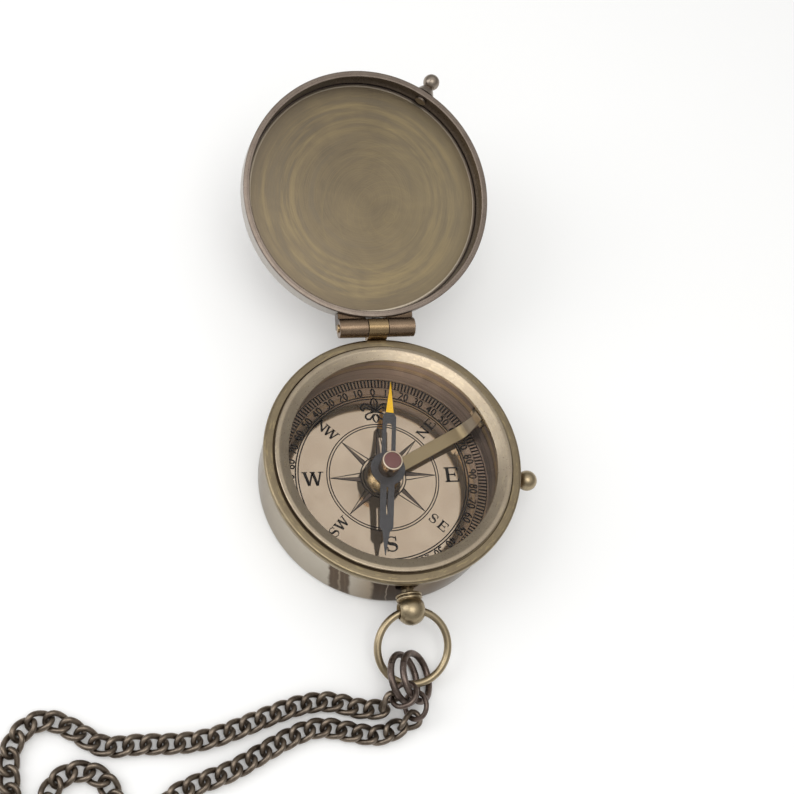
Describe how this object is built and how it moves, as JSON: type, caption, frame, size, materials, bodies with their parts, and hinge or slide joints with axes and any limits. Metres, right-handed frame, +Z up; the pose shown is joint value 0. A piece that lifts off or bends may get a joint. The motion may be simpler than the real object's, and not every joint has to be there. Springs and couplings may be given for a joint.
{
  "type": "pocket compass",
  "caption": "Round brass pocket compass with a hinged open lid, a dial and needle under glass, a ball pendant with a bow ring and a curb chain on the floor.",
  "frame": {"origin": "centre of the case base, on the floor that the case stands on", "axes": "+Z up through the dial, +Y from the case's middle to the hinge, -Y to the pendant and the bow, +X to the side of the arrest button"},
  "size_m": [0.1031, 0.1604, 0.0336],
  "materials": {
    "polished_brass": "polished",
    "rim_brass": "turned, with fine brushed lines",
    "gold_brass": "polished",
    "olive_brass": "satin, slightly tarnished",
    "lid_brass": "satin, tarnished to a reddish brown",
    "brushed_liner": "brushed in circles",
    "antique_brass": "darkened, worn bright on the high spots",
    "etched_dial": "etched and polished",
    "dark_ring": "dark gloss",
    "blued_steel": "blued",
    "yellow_paint": "painted",
    "jewel": "glossy",
    "steel": "bright",
    "glass": "clear"
  },
  "bodies": {
    "case": {"case_cup": "polished_brass", "case_rim": "rim_brass", "bezel": "rim_brass", "glass": "glass", "glass_ring": "dark_ring", "spacer_ring": "dark_ring", "dial_plate": "etched_dial", "dial_support": "dark_ring", "pivot_boss": "gold_brass", "pivot_pin": "steel", "lever_bracket": "polished_brass", "lever_pin": "steel", "case_knuckle": "gold_brass", "hinge_pin": "gold_brass", "pendant_stem": "olive_brass", "pendant_ball": "olive_brass", "chain_strands": "antique_brass", "chain_heap": "antique_brass", "chain_tail": "antique_brass"},
    "lid": {"lid_shell": "lid_brass", "lid_liner": "brushed_liner", "lid_knob": "olive_brass", "lid_knuckle_left": "lid_brass", "lid_knuckle_right": "lid_brass"},
    "needle": {"needle": "blued_steel", "needle_north_tip": "yellow_paint", "needle_cap": "rim_brass", "cap_jewel": "jewel"},
    "lever": {"arrest_lever": "polished_brass", "arrest_arm": "gold_brass"},
    "button": {"arrest_button": "olive_brass"},
    "bow": {"bow_ring": "olive_brass", "jump_ring_a": "antique_brass", "jump_ring_b": "antique_brass", "end_ring_a": "antique_brass", "end_ring_b": "antique_brass", "chain_lead": "antique_brass"}
  },
  "joints": [
    {"name": "lid_hinge", "type": "hinge", "parent": "case", "child": "lid", "pos_m": [0, 0.02686, 0.01495], "axis": [1, 0, 0], "range_deg": [0, 160]},
    {"name": "needle_spin", "type": "hinge", "parent": "case", "child": "needle", "pos_m": [0, 0, 0.01], "axis": [0, 0, 1], "continuous": true},
    {"name": "button_slide", "type": "slide", "parent": "case", "child": "button", "axis": [-0.9816, 0.1908, 0], "range_m": [0, 0.0006], "stiffness_N_per_m": 200, "springref_m": -0.0005},
    {"name": "lever_pivot", "type": "hinge", "parent": "case", "child": "lever", "pos_m": [0.0194, 0.0088, 0.0096], "axis": [-0.4131, 0.9107, 0], "range_deg": [0, 4.5]},
    {"name": "bow_pivot", "type": "hinge", "parent": "case", "child": "bow", "pos_m": [0, -0.02819, 0.0074], "axis": [-1, 0, 0], "range_deg": [-60, 90]}
  ],
  "couplings": [
    {"joint": "lever_pivot", "follows": "button_slide", "rad_per_m": 130.8}
  ]
}
